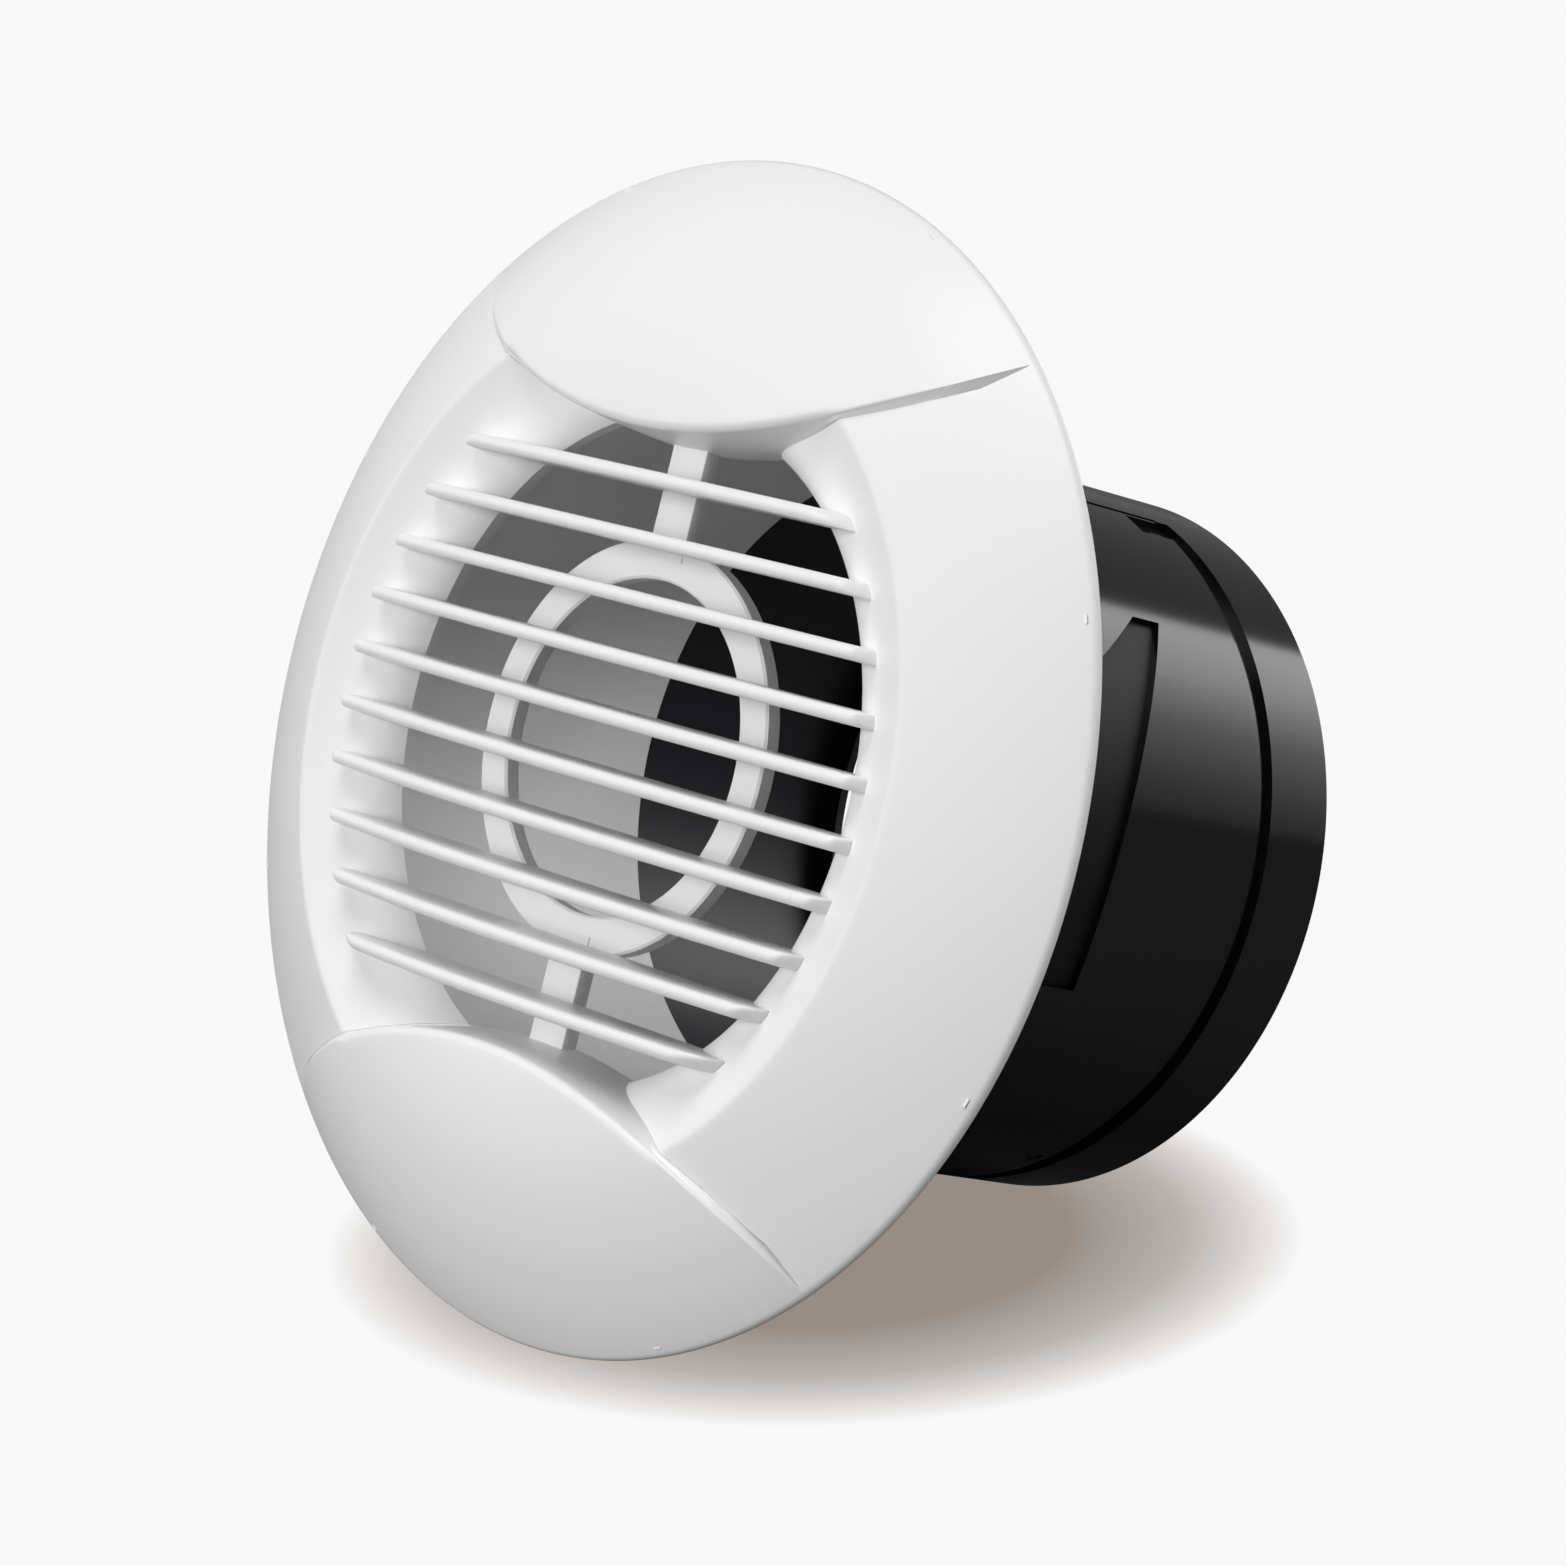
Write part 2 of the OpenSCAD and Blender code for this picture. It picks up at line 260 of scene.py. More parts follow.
RIM_CENTRE = np.array([PANEL_R - RIM_ROUND, 0.0])
crescent_centre = cross(RIM_CENTRE, CRESCENT_R - RIM_ROUND, RIDGE, CRESCENT_R)
field_centre = cross(RIM_CENTRE, FIELD_DOME_R - RIM_ROUND, (FIELD_EDGE_Z, FIELD_EDGE_FRONT), FIELD_DOME_R)
throat_centre = np.array([THROAT_R + THROAT_ROUND * math.sin(THROAT_SLOPE),
                          THROAT_FRONT - THROAT_ROUND * math.cos(THROAT_SLOPE)])
to_ridge = np.array(RIDGE) - throat_centre
tangent_angle = math.atan2(to_ridge[1], to_ridge[0]) + math.acos(THROAT_ROUND / np.linalg.norm(to_ridge))
tangent = throat_centre + THROAT_ROUND * np.array([math.cos(tangent_angle), math.sin(tangent_angle)])
cone_rise = (RIDGE[1] - tangent[1]) / (RIDGE[0] - tangent[0])


def dome(centre, radius, r):
    """Height of a dome's profile at a radius."""
    return centre[1] + np.sqrt(np.maximum(radius ** 2 - (r - centre[0]) ** 2, 0))


def base_front(r):
    """Height of the recess and crescents at a radius."""
    r = np.asarray(r, float)
    cone = tangent[1] + cone_rise * (r - tangent[0])
    roll = dome(throat_centre, THROAT_ROUND, np.minimum(r, throat_centre[0]))
    recess = np.where(r < tangent[0], roll, cone)
    crescent = dome(crescent_centre, CRESCENT_R, r)
    low, high = np.minimum(recess, crescent), np.maximum(recess, crescent)
    return low - RIDGE_SOFTNESS * np.log1p(np.exp(-(high - low) / RIDGE_SOFTNESS))


def field_front(r):
    """Height of the raised fields at a radius."""
    return dome(field_centre, FIELD_DOME_R, np.asarray(r, float))


def rim_reach(centre):
    """Point where a dome runs into the rolled rim."""
    away = RIM_CENTRE - centre
    return RIM_CENTRE + RIM_ROUND * away / np.linalg.norm(away)


print("step of the field at the ridge, mm:", round(float(field_front(RIDGE[0]) - base_front(RIDGE[0])), 2))
print("radii where the domes reach the rim:", rim_reach(crescent_centre)[0], rim_reach(field_centre)[0])

# %% [markdown]
# ## The front shell
#
# The shell is one closed sheet: at each angle a loop of points goes from the throat's edge over the front
# to the rim, round it and back along the rear face. The raised fields are bounded by a circle seen from
# the front, so on each ray their edge is at a radius that comes from that circle. Points that don't apply
# on a ray fall together and are merged, which keeps the field's edge a clean line from tip to tip.

# %%
FIELD_REACH = FIELD_EDGE_Z + FIELD_EDGE_R
LEAN_RATE = FIELD_LEAN / (FIELD_EDGE_FRONT - THROAT_FRONT)
WEB_REAR = THROAT_FRONT - WALL
FRONT_RADII = np.concatenate([
    throat_centre[0] - THROAT_ROUND * np.sin(np.linspace(THROAT_SLOPE, math.atan(cone_rise), 9)),
    [65.0, 68.0], np.linspace(70, 75, 12), np.linspace(76.5, 96, 13), [97.4, 98.4]])
REAR_RADII = np.concatenate([np.linspace(PANEL_R - WALL, RIDGE[0], 9), np.linspace(70, THROAT_R, 10)])


def on_ray(angle, edge_r):
    """Radius at which a ray from the axis meets a circle about a field's far centre, or None."""
    across = FIELD_REACH * abs(math.cos(angle))
    if edge_r <= across:
        return None
    return FIELD_REACH * abs(math.sin(angle)) - math.sqrt(edge_r ** 2 - across ** 2)


def edge_at(front):
    """Radius of the circle that bounds a field at a height; the wall leans in towards the rear."""
    return FIELD_EDGE_R + LEAN_RATE * (FIELD_EDGE_FRONT - front)


def rim_arc(reach, steps=6):
    """Points of the rolled rim from a dome's reach down to the rear plane."""
    start = math.atan2(reach[1] - RIM_CENTRE[1], reach[0] - RIM_CENTRE[0])
    turn = np.linspace(start, 0, steps)
    return np.stack([RIM_CENTRE[0] + RIM_ROUND * np.cos(turn), RIM_CENTRE[1] + RIM_ROUND * np.sin(turn)], 1)


def plain_loop():
    """Loop of points on a ray that crosses no raised field."""
    reach = rim_reach(crescent_centre)
    front = np.stack([FRONT_RADII, base_front(FRONT_RADII)], 1)
    rear = np.stack([REAR_RADII, np.maximum(base_front(REAR_RADII) - WALL, 0)], 1)
    foot = [(THROAT_R, WEB_REAR)]
    return foot, front, [reach] * 12, [reach] * FRONT_RADII.size, rim_arc(reach), \
        [(PANEL_R - WALL, 0)] + [rear[0]] * REAR_RADII.size, [rear[0]] * 2, rear


def field_loop(angle, edge):
    """Loop of points on a ray that meets a raised field's edge at a radius."""
    reach = rim_reach(field_centre)
    foot_front = WEB_REAR
    for _ in range(12):
        foot_r = on_ray(angle, edge_at(foot_front)) or edge
        foot_front = float(base_front(foot_r)) if foot_r > THROAT_R else WEB_REAR
    central = foot_r <= THROAT_R
    start = (foot_r, WEB_REAR) if central else (THROAT_R, WEB_REAR)
    if central:
        front = [start] * FRONT_RADII.size
        groove = [start] * 3
    else:
        lip = max(THROAT_R, on_ray(angle, edge_at(foot_front) + GROOVE_W) or foot_r)
        inner = max(THROAT_R, on_ray(angle, edge_at(foot_front) + GROOVE_W * 0.8) or foot_r)
        radii = np.minimum(FRONT_RADII, lip)
        front = np.stack([radii, base_front(radii)], 1)
        dip = min(GROOVE_DEPTH, max(float(field_front(lip) - base_front(lip)), 0))
        groove = [(lip, base_front(lip)), (inner, base_front(inner) - dip), (foot_r, base_front(foot_r) - dip)]
    step = float(field_front(edge)) - groove[-1][1]
    rounding = min(FIELD_ROUND, 0.5 * max(step, 0))
    wall_top = float(field_front(edge)) - rounding
    heights = np.linspace(groove[-1][1], wall_top, 3)[:2]
    wall = [(min(on_ray(angle, edge_at(h)) or edge, edge), h) for h in heights]
    corner = []
    for turn in np.linspace(0, math.pi / 2, 7):
        r = on_ray(angle, FIELD_EDGE_R - rounding * (1 - math.cos(turn)))
        r = min(reach[0] if r is None else r, reach[0])
        corner.append((r, float(field_front(r)) - rounding * (1 - math.sin(turn))))
    radii = np.clip(FRONT_RADII, corner[-1][0], reach[0])
    top = np.stack([radii, field_front(radii)], 1)
    back = on_ray(angle, FIELD_EDGE_R - FIELD_WALL)
    back = PANEL_R - WALL if back is None else min(back, PANEL_R - WALL)
    rear_radii = np.maximum(REAR_RADII, back)
    under_field = np.stack([rear_radii, np.maximum(field_front(rear_radii) - WALL, 0)], 1)
    low = max(float(base_front(back)) - WALL, 0) if back > THROAT_R else WEB_REAR
    rear_base = np.minimum(REAR_RADII, back)
    if back <= THROAT_R:
        rear = [(back, WEB_REAR)] * REAR_RADII.size
    else:
        rear = np.stack([rear_base, np.maximum(base_front(rear_base) - WALL, 0)], 1)
    return [start], front, groove + wall + corner, top, rim_arc(reach), \
        [(PANEL_R - WALL, 0)] + list(under_field), [(back, under_field[-1][1]), (back, low)], rear


def shell_angles():
    """Angles of one quarter, closest together where the fields' tips run out at the rim."""
    tip = next(a for a in np.radians(np.arange(40, 60, 0.02))
               if (on_ray(a, FIELD_EDGE_R) or 999) < rim_reach(field_centre)[0])
    side = np.linspace(0, tip - 0.004, 60)
    close = tip + np.radians(np.concatenate([np.arange(-0.2, 2.0, 0.1), np.arange(2.0, 8.0, 0.3)]))
    rest = np.linspace(close[-1] + 0.008, math.pi / 2, 48)
    return np.concatenate([side, close, rest])


def shell_loop(angle):
    edge = on_ray(angle, FIELD_EDGE_R)
    if edge is None or edge > rim_reach(field_centre)[0]:
        loop = plain_loop()
    else:
        loop = field_loop(angle, edge)
    return np.concatenate([np.asarray(part, float).reshape(-1, 2) for part in loop])


quarter = shell_angles()
quarter_loops = [shell_loop(a) for a in quarter]
order = [(a, loop) for a, loop in zip(quarter, quarter_loops)]
order += [(math.pi - a, loop) for a, loop in zip(quarter[::-1][1:], quarter_loops[::-1][1:])]
order += [(math.pi + a, loop) for a, loop in list(zip(quarter, quarter_loops))[1:]]
order += [(2 * math.pi - a, loop) for a, loop in zip(quarter[::-1][1:-1], quarter_loops[::-1][1:-1])]
shell_points = np.concatenate([turned(loop, [a]) for a, loop in order])
shell_mesh = finish_mesh(grid_mesh("front_shell", shell_points, close_u=True, close_v=True), 32)
front_shell = add_piece("front_shell", shell_mesh, white_plastic, "front_panel")

# %% [markdown]
# ## Collar, root shoulder and webs
#
# Behind the throat a thin collar carries the sleeve. Its profile is turned once. A faint step on the
# inside shows where the mould's core was split, and small rounds soften the rear edge.

# %%
COLLAR_R = COLLAR_BORE_R + COLLAR_WALL
CORE_LINE = 38.8
CORE_STEP = 0.12
EDGE_ROUND = 0.35
collar_profile = [
    (COLLAR_BORE_R, 7.5), (COLLAR_BORE_R, -CORE_LINE), (COLLAR_BORE_R + CORE_STEP, -CORE_LINE - CORE_STEP),
    (COLLAR_BORE_R + CORE_STEP, EDGE_ROUND - COLLAR_L), (COLLAR_BORE_R + CORE_STEP + EDGE_ROUND, -COLLAR_L),
    (COLLAR_R - EDGE_ROUND, -COLLAR_L), (COLLAR_R, EDGE_ROUND - COLLAR_L), (COLLAR_R, SLEEVE_LEAD),
    (COLLAR_R + STOP_W, SLEEVE_LEAD), (COLLAR_R + STOP_W, WEB_REAR), (COLLAR_R, WEB_REAR), (COLLAR_R, 8.5)]
collar_mesh = finish_mesh(grid_mesh("collar", turned(collar_profile, all_round(240)), True, True))
collar = add_piece("collar", collar_mesh, white_plastic, "front_panel")


def web_points(side):
    """Closed strip that fills the gap between a field's wall and the collar, seen from behind."""
    rows = []
    for angle in np.linspace(math.radians(61), math.radians(119), 80):
        inner = min(on_ray(angle, FIELD_EDGE_R - FIELD_WALL / 2), COLLAR_BORE_R)
        outer = COLLAR_BORE_R + COLLAR_WALL / 2
        loop = [(inner, WEB_REAR + 0.02), (outer, WEB_REAR + 0.02), (outer, THROAT_FRONT), (inner, THROAT_FRONT)]
        rows.append(turned(loop, [angle if side > 0 else -angle]))
    return np.concatenate(rows)


for side, name in ((1, "upper_web"), (-1, "lower_web")):
    web_mesh = finish_mesh(grid_mesh(name, web_points(side), close_v=True))
    add_piece(name, web_mesh, white_plastic, "front_panel")

# %% [markdown]
# ## Centre ring and spokes
#
# A flat ring ties the slats together from behind, held by two short spokes. The ring is turned from a
# section with bevelled edges, and the spokes are boxes with the same bevel.

# %%
ring_in, ring_rear = RING_R - RING_W, RING_FRONT - RING_T
ring_profile = [
    (ring_in, ring_rear + RING_BEVEL), (ring_in + RING_BEVEL, ring_rear), (RING_R - RING_BEVEL, ring_rear),
    (RING_R, ring_rear + RING_BEVEL), (RING_R, RING_FRONT - RING_BEVEL), (RING_R - RING_BEVEL, RING_FRONT),
    (ring_in + RING_BEVEL, RING_FRONT), (ring_in, RING_FRONT - RING_BEVEL)]
ring_mesh = finish_mesh(grid_mesh("centre_ring", turned(ring_profile, all_round(200)), True, True), 25)
add_piece("centre_ring", ring_mesh, white_plastic, "front_panel")


def spoke_mesh(name, side):
    """Upright spoke from the ring to the wall of a raised field."""
    low, high = RING_R - RING_W / 2, FIELD_EDGE_Z - FIELD_LEAN + 0.6
    section = [(-1, 0), (-1, 1), (1, 1), (1, 0)]
    bm = bmesh.new()
    bmesh.ops.create_cube(bm, size=1)
    middle = Vector((0, -(SPOKE_FRONT - RING_T / 2), side * (low + high) / 2)) * MM
    size = Vector((SPOKE_W, RING_T, high - low)) * MM
    bmesh.ops.scale(bm, vec=size, verts=bm.verts)
    bmesh.ops.translate(bm, vec=middle, verts=bm.verts)
    long_edges = [e for e in bm.edges if abs((e.verts[0].co - e.verts[1].co).z) > size.z / 2]
    bmesh.ops.bevel(bm, geom=long_edges, offset=RING_BEVEL * MM, segments=2, affect="EDGES", profile=0.5)
    mesh = bpy.data.meshes.new(name)
    bm.to_mesh(mesh)
    bm.free()
    return finish_mesh(mesh, 40)


for side, name in ((1, "upper_spoke"), (-1, "lower_spoke")):
    add_piece(name, spoke_mesh(name, side), white_plastic, "front_panel")

# %% [markdown]
# ## Louvres
#
# The ten slats repeat, so one slat is drawn and Geometry Nodes sets it at each height. The slat carries
# only its section: how far each point lies behind the front line. After the copies are realised, one
# formula bends them all: the front line bows out in the middle, and every end rolls back to the recess.
# The straight back edge rises with the throat's roll at both ends, so that no slat shows behind the shell.

# %%
def slat_template():
    """One slat of unit bow: x across, y the distance behind the front line, z across the thickness."""
    nose = SLAT_T / 2
    turns = np.linspace(-math.pi / 2, math.pi / 2, 9)
    section = [(nose * (1 - math.cos(t)), nose * math.sin(t)) for t in turns]
    section += [(100.0, nose), (100.0, -nose)]
    across = SLAT_END_R * np.sin(np.linspace(-math.pi / 2, math.pi / 2, 73))
    rows = [[(x, behind, z) for behind, z in section] for x in across]
    mesh = grid_mesh("slats", np.array(rows), close_v=True)
    bm = bmesh.new()
    bm.from_mesh(mesh)
    bmesh.ops.holes_fill(bm, edges=[e for e in bm.edges if e.is_boundary])
    bm.to_mesh(mesh)
    bm.free()
    return mesh


def math_node(tree, operation, a, b=None, x=0, y=0):
    """Adds a maths node on sockets or numbers and returns its output."""
    node = add_node(tree, "ShaderNodeMath", x, y, operation=operation)
    for i, value in enumerate((a, b)):
        if value is None:
            continue
        if isinstance(value, (int, float)):
            node.inputs[i].default_value = value
        else:
            tree.links.new(value, node.inputs[i])
    return node.outputs[0]


def louvre_nodes():
    """Node group that stacks the slats and bends them to the grille's front."""
    tree = bpy.data.node_groups.new("louvre stack", "GeometryNodeTree")
    face = tree.interface
    face.new_socket("Geometry", in_out="INPUT", socket_type="NodeSocketGeometry")
    wanted = (("Count", "NodeSocketInt", SLAT_COUNT), ("Pitch", "NodeSocketFloat", SLAT_PITCH * MM),
              ("Front", "NodeSocketFloat", SLAT_FRONT * MM), ("Bow", "NodeSocketFloat", SLAT_BOW / MM),
              ("Stack bow", "NodeSocketFloat", SLAT_STACK_BOW / MM), ("Back", "NodeSocketFloat", SLAT_BACK * MM),
              ("End radius", "NodeSocketFloat", SLAT_END_R * MM),
              ("End round", "NodeSocketFloat", SLAT_END_ROUND * MM),
              ("End front", "NodeSocketFloat", SLAT_END_FRONT * MM),
              ("Roll radius", "NodeSocketFloat", THROAT_ROUND * MM),
              ("Roll centre", "NodeSocketFloat", float(throat_centre[0]) * MM),
              ("Roll front", "NodeSocketFloat", (float(throat_centre[1]) - WALL / 2) * MM),
              ("Material", "NodeSocketMaterial", None))
    for name, kind, value in wanted:
        socket = face.new_socket(name, in_out="INPUT", socket_type=kind)
        if value is not None:
            socket.default_value = value
    face.new_socket("Geometry", in_out="OUTPUT", socket_type="NodeSocketGeometry")
    put = add_node(tree, "NodeGroupInput", -1400, 0).outputs
    link = tree.links.new

    def do(operation, a, b=None):
        return math_node(tree, operation, a, b)

    half = do("MULTIPLY", do("SUBTRACT", put["Count"], 1), do("MULTIPLY", put["Pitch"], -0.5))
    start = add_node(tree, "ShaderNodeCombineXYZ", -1200, 200)
    link(half, start.inputs["Z"])
    offset = add_node(tree, "ShaderNodeCombineXYZ", -1200, 50)
    link(put["Pitch"], offset.inputs["Z"])
    line = add_node(tree, "GeometryNodeMeshLine", -1000, 200)
    link(put["Count"], line.inputs["Count"])
    link(start.outputs[0], line.inputs["Start Location"])
    link(offset.outputs[0], line.inputs["Offset"])
    copies = add_node(tree, "GeometryNodeInstanceOnPoints", -800, 200)
    link(line.outputs["Mesh"], copies.inputs["Points"])
    link(put["Geometry"], copies.inputs["Instance"])
    real = add_node(tree, "GeometryNodeRealizeInstances", -600, 200)
    link(copies.outputs["Instances"], real.inputs["Geometry"])

    here = add_node(tree, "GeometryNodeInputPosition", -1400, -400)
    part = add_node(tree, "ShaderNodeSeparateXYZ", -1200, -400)
    link(here.outputs[0], part.inputs[0])
    x, y, z = part.outputs
    level = do("DIVIDE", z, put["End radius"])
    narrowing = do("SQRT", do("SUBTRACT", 1.0, do("MULTIPLY", level, level)))
    across = do("MULTIPLY", x, narrowing)
    across2, z2 = do("MULTIPLY", across, across), do("MULTIPLY", z, z)
    bowed = do("ADD", do("MULTIPLY", across2, put["Bow"]), do("MULTIPLY", z2, put["Stack bow"]))
    front_line = do("SUBTRACT", bowed, put["Front"])
    radius = do("SQRT", do("ADD", across2, z2))
    roll_start = do("SUBTRACT", put["End radius"], put["End round"])
    past = do("MAXIMUM", do("SUBTRACT", radius, roll_start), 0.0)
    drop = do("SQRT", do("MAXIMUM", do("SUBTRACT", do("MULTIPLY", put["End round"], put["End round"]),
                                       do("MULTIPLY", past, past)), 0.0))
    roll_line = do("SUBTRACT", do("SUBTRACT", put["End round"], put["End front"]), drop)
    roll_line = do("SUBTRACT", roll_line, do("LESS_THAN", radius, roll_start))
    nose_line = do("MAXIMUM", front_line, roll_line)
    short = do("MAXIMUM", do("SUBTRACT", put["Roll centre"], radius), 0.0)
    roll_drop = do("MAXIMUM", do("SUBTRACT", do("MULTIPLY", put["Roll radius"], put["Roll radius"]),
                                 do("MULTIPLY", short, short)), 0.0)
    seat = do("ADD", put["Roll front"], do("SQRT", roll_drop))
    back_line = do("MULTIPLY", do("MAXIMUM", put["Back"], seat), -1.0)
    depth = do("MINIMUM", do("ADD", nose_line, y), back_line)
    moved = add_node(tree, "ShaderNodeCombineXYZ", -500, -400)
    link(across, moved.inputs["X"])
    link(depth, moved.inputs["Y"])
    link(z, moved.inputs["Z"])
    place = add_node(tree, "GeometryNodeSetPosition", -300, 200)
    link(real.outputs["Geometry"], place.inputs["Geometry"])
    link(moved.outputs[0], place.inputs["Position"])
    paint = add_node(tree, "GeometryNodeSetMaterial", -100, 200)
    link(place.outputs["Geometry"], paint.inputs["Geometry"])
    link(put["Material"], paint.inputs["Material"])
    out = add_node(tree, "NodeGroupOutput", 100, 200)
    link(paint.outputs["Geometry"], out.inputs["Geometry"])
    return tree


def run_nodes(name, template, tree, values):
    """Runs a node group on a template mesh and returns the plain mesh that it makes."""
    holder = bpy.data.objects.new(name + "_template", template)
    bpy.context.collection.objects.link(holder)
    modifier = holder.modifiers.new("nodes", "NODES")
    modifier.node_group = tree
    for item in tree.interface.items_tree:
        if item.in_out == "INPUT" and item.name in values:
            modifier[item.identifier] = values[item.name]
    bpy.context.view_layer.update()
    graph = bpy.context.evaluated_depsgraph_get()
    mesh = bpy.data.meshes.new_from_object(holder.evaluated_get(graph), depsgraph=graph)
    mesh.name = name
    bpy.data.objects.remove(holder)
    return mesh


louvre_mesh = finish_mesh(run_nodes("louvres", slat_template(), louvre_nodes(), {"Material": white_plastic}), 40)
louvres = add_piece("louvres", louvre_mesh, white_plastic, "front_panel")
print("louvres reach, mm:", [round(v / MM, 1) for v in (min(v.co.y for v in louvre_mesh.vertices),
                                                       max(v.co.z for v in louvre_mesh.vertices))])

# %% [markdown]
# ## Stiffening ribs
#
# Eight thin ribs behind the panel run from the collar to the rim. They repeat round the axis, so they are
# set by Geometry Nodes too.

# %%
def rib_template():
    """One rib in the plane of the X axis, its top inside the shell."""
    inner, outer = COLLAR_R + STOP_W - 0.2, PANEL_R - WALL / 2
    radii = np.linspace(inner, outer, 14)
    top = np.maximum(base_front(radii) - WALL / 2, SLEEVE_LEAD)
    t = RIB_T / 2
    rows = [[(r, -SLEEVE_LEAD, -t), (r, -h, -t), (r, -h, t), (r, -SLEEVE_LEAD, t)] for r, h in zip(radii, top)]
    mesh = grid_mesh("ribs", np.array(rows), close_v=True)
    return mesh


def rib_nodes():
    """Node group that turns one rib round the duct axis."""
    tree = bpy.data.node_groups.new("ribs round the collar", "GeometryNodeTree")
    face = tree.interface
    face.new_socket("Geometry", in_out="INPUT", socket_type="NodeSocketGeometry")
    count = face.new_socket("Count", in_out="INPUT", socket_type="NodeSocketInt")
    count.default_value = RIB_COUNT
    face.new_socket("Material", in_out="INPUT", socket_type="NodeSocketMaterial")
    face.new_socket("Geometry", in_out="OUTPUT", socket_type="NodeSocketGeometry")
    put = add_node(tree, "NodeGroupInput", -1000, 0).outputs
    link = tree.links.new
    points = add_node(tree, "GeometryNodePoints", -800, 100)
    link(put["Count"], points.inputs["Count"])
    index = add_node(tree, "GeometryNodeInputIndex", -1000, -200)
    share = math_node(tree, "DIVIDE", math_node(tree, "ADD", index.outputs[0], 0.5), put["Count"])
    turn = add_node(tree, "ShaderNodeCombineXYZ", -600, -200)
    link(math_node(tree, "MULTIPLY", share, 2 * math.pi), turn.inputs["Y"])
    copies = add_node(tree, "GeometryNodeInstanceOnPoints", -400, 100)
    link(points.outputs[0], copies.inputs["Points"])
    link(put["Geometry"], copies.inputs["Instance"])
    link(turn.outputs[0], copies.inputs["Rotation"])
    real = add_node(tree, "GeometryNodeRealizeInstances", -200, 100)
    link(copies.outputs["Instances"], real.inputs["Geometry"])
    paint = add_node(tree, "GeometryNodeSetMaterial", 0, 100)
    link(real.outputs["Geometry"], paint.inputs["Geometry"])
    link(put["Material"], paint.inputs["Material"])
    out = add_node(tree, "NodeGroupOutput", 200, 100)
    link(paint.outputs["Geometry"], out.inputs["Geometry"])
    return tree


rib_mesh = finish_mesh(run_nodes("stiffening_ribs", rib_template(), rib_nodes(), {"Material": white_plastic}))
ribs = add_piece("stiffening_ribs", rib_mesh, white_plastic, "front_panel")

# %% [markdown]
# ## The sleeve
#
# The sleeve is turned first. The groove near its rear, the notches at the groove's ends, the fine lines
# beside the top strip and the two side pockets are cut from it with a boolean, as they are sunk into the
# mould. The pockets' floors stay round, so their cutter is shaped to the floor's radius.

# %%
SINK = 1.2
GROOVE_REAR = SLEEVE_L - 15
GROOVE_FRONT = GROOVE_REAR - 4
NOTCH_L = 8
NOTCH_ANGLE = 6
STRIP_ANGLE = 20
LINE_ANGLE = 1
LINE_DEPTH = 0.4
CHAMFER = 0.6
POCKET = dict(front=34, rear=61.5, top_from=55, top=41, slope=26, bottom=21, r=90, drop=5)
MARK_R = 1.5
MARK_Y = GROOVE_FRONT - 2.5
MARK_ANGLE = 58
sleeve_bore = SLEEVE_R - SLEEVE_WALL


def ring_cut(y0, y1, depth, angle0, angle1, steps):
    """Closed block that cuts a groove from the outside, between two angles in degrees."""
    low, high = SLEEVE_R - depth, SLEEVE_R + 1
    loop = [(low, -y0), (high, -y0), (high, -y1), (low, -y1)]
    return turned(loop, np.radians(np.linspace(angle0, angle1, steps)))


def block_mesh(bm, points):
    """Adds a swept closed block with end caps to a bmesh."""
    rows = [[bm.verts.new(p * MM) for p in row] for row in points]
    for a, b in zip(rows, rows[1:]):
        for i in range(len(a)):
            bm.faces.new((a[i], b[i], b[(i + 1) % len(a)], a[(i + 1) % len(a)]))
    bm.faces.new(rows[0][::-1])
    bm.faces.new(rows[-1])


def pocket_plan():
    """Outline of a side pocket as (y, z), with its curved rear edge as an arc."""
    p = POCKET
    arc_z = -p["drop"]
    arc_y = p["rear"] + math.sqrt(p["r"] ** 2 - (p["top"] - arc_z) ** 2)
    rear = [(arc_y - math.sqrt(p["r"] ** 2 - (z - arc_z) ** 2), z)
            for z in np.linspace(p["top"], -p["bottom"], 33)]
    return [(p["front"], -p["bottom"]), (p["front"], p["slope"]), (p["top_from"], p["top"])] + rear


def pocket_block(bm, side):
    """Adds the cutter of one side pocket: its plan pushed out from the round floor."""
    flat = bmesh.new()
    flat.faces.new([flat.verts.new((0, y * MM, z * MM)) for y, z in pocket_plan()])
    for z in np.arange(-POCKET["bottom"] + 1, POCKET["top"], 1.0):
        bmesh.ops.bisect_plane(flat, geom=flat.verts[:] + flat.edges[:] + flat.faces[:],
                               plane_co=(0, 0, z * MM), plane_no=(0, 0, 1))
    floor_r, out_x = (SLEEVE_R - SINK) * MM, side * (SLEEVE_R + 3) * MM
    floor = [bm.verts.new((side * math.sqrt(floor_r ** 2 - v.co.z ** 2), v.co.y, v.co.z)) for v in flat.verts]
    outer = [bm.verts.new((out_x, v.co.y, v.co.z)) for v in flat.verts]
    flat.verts.index_update()
    for face in flat.faces:
        bm.faces.new([floor[v.index] for v in face.verts])
        bm.faces.new([outer[v.index] for v in face.verts][::-1])
    for edge in flat.edges:
        if edge.is_boundary:
            a, b = (v.index for v in edge.verts)
            bm.faces.new((floor[a], floor[b], outer[b], outer[a]))
    flat.free()


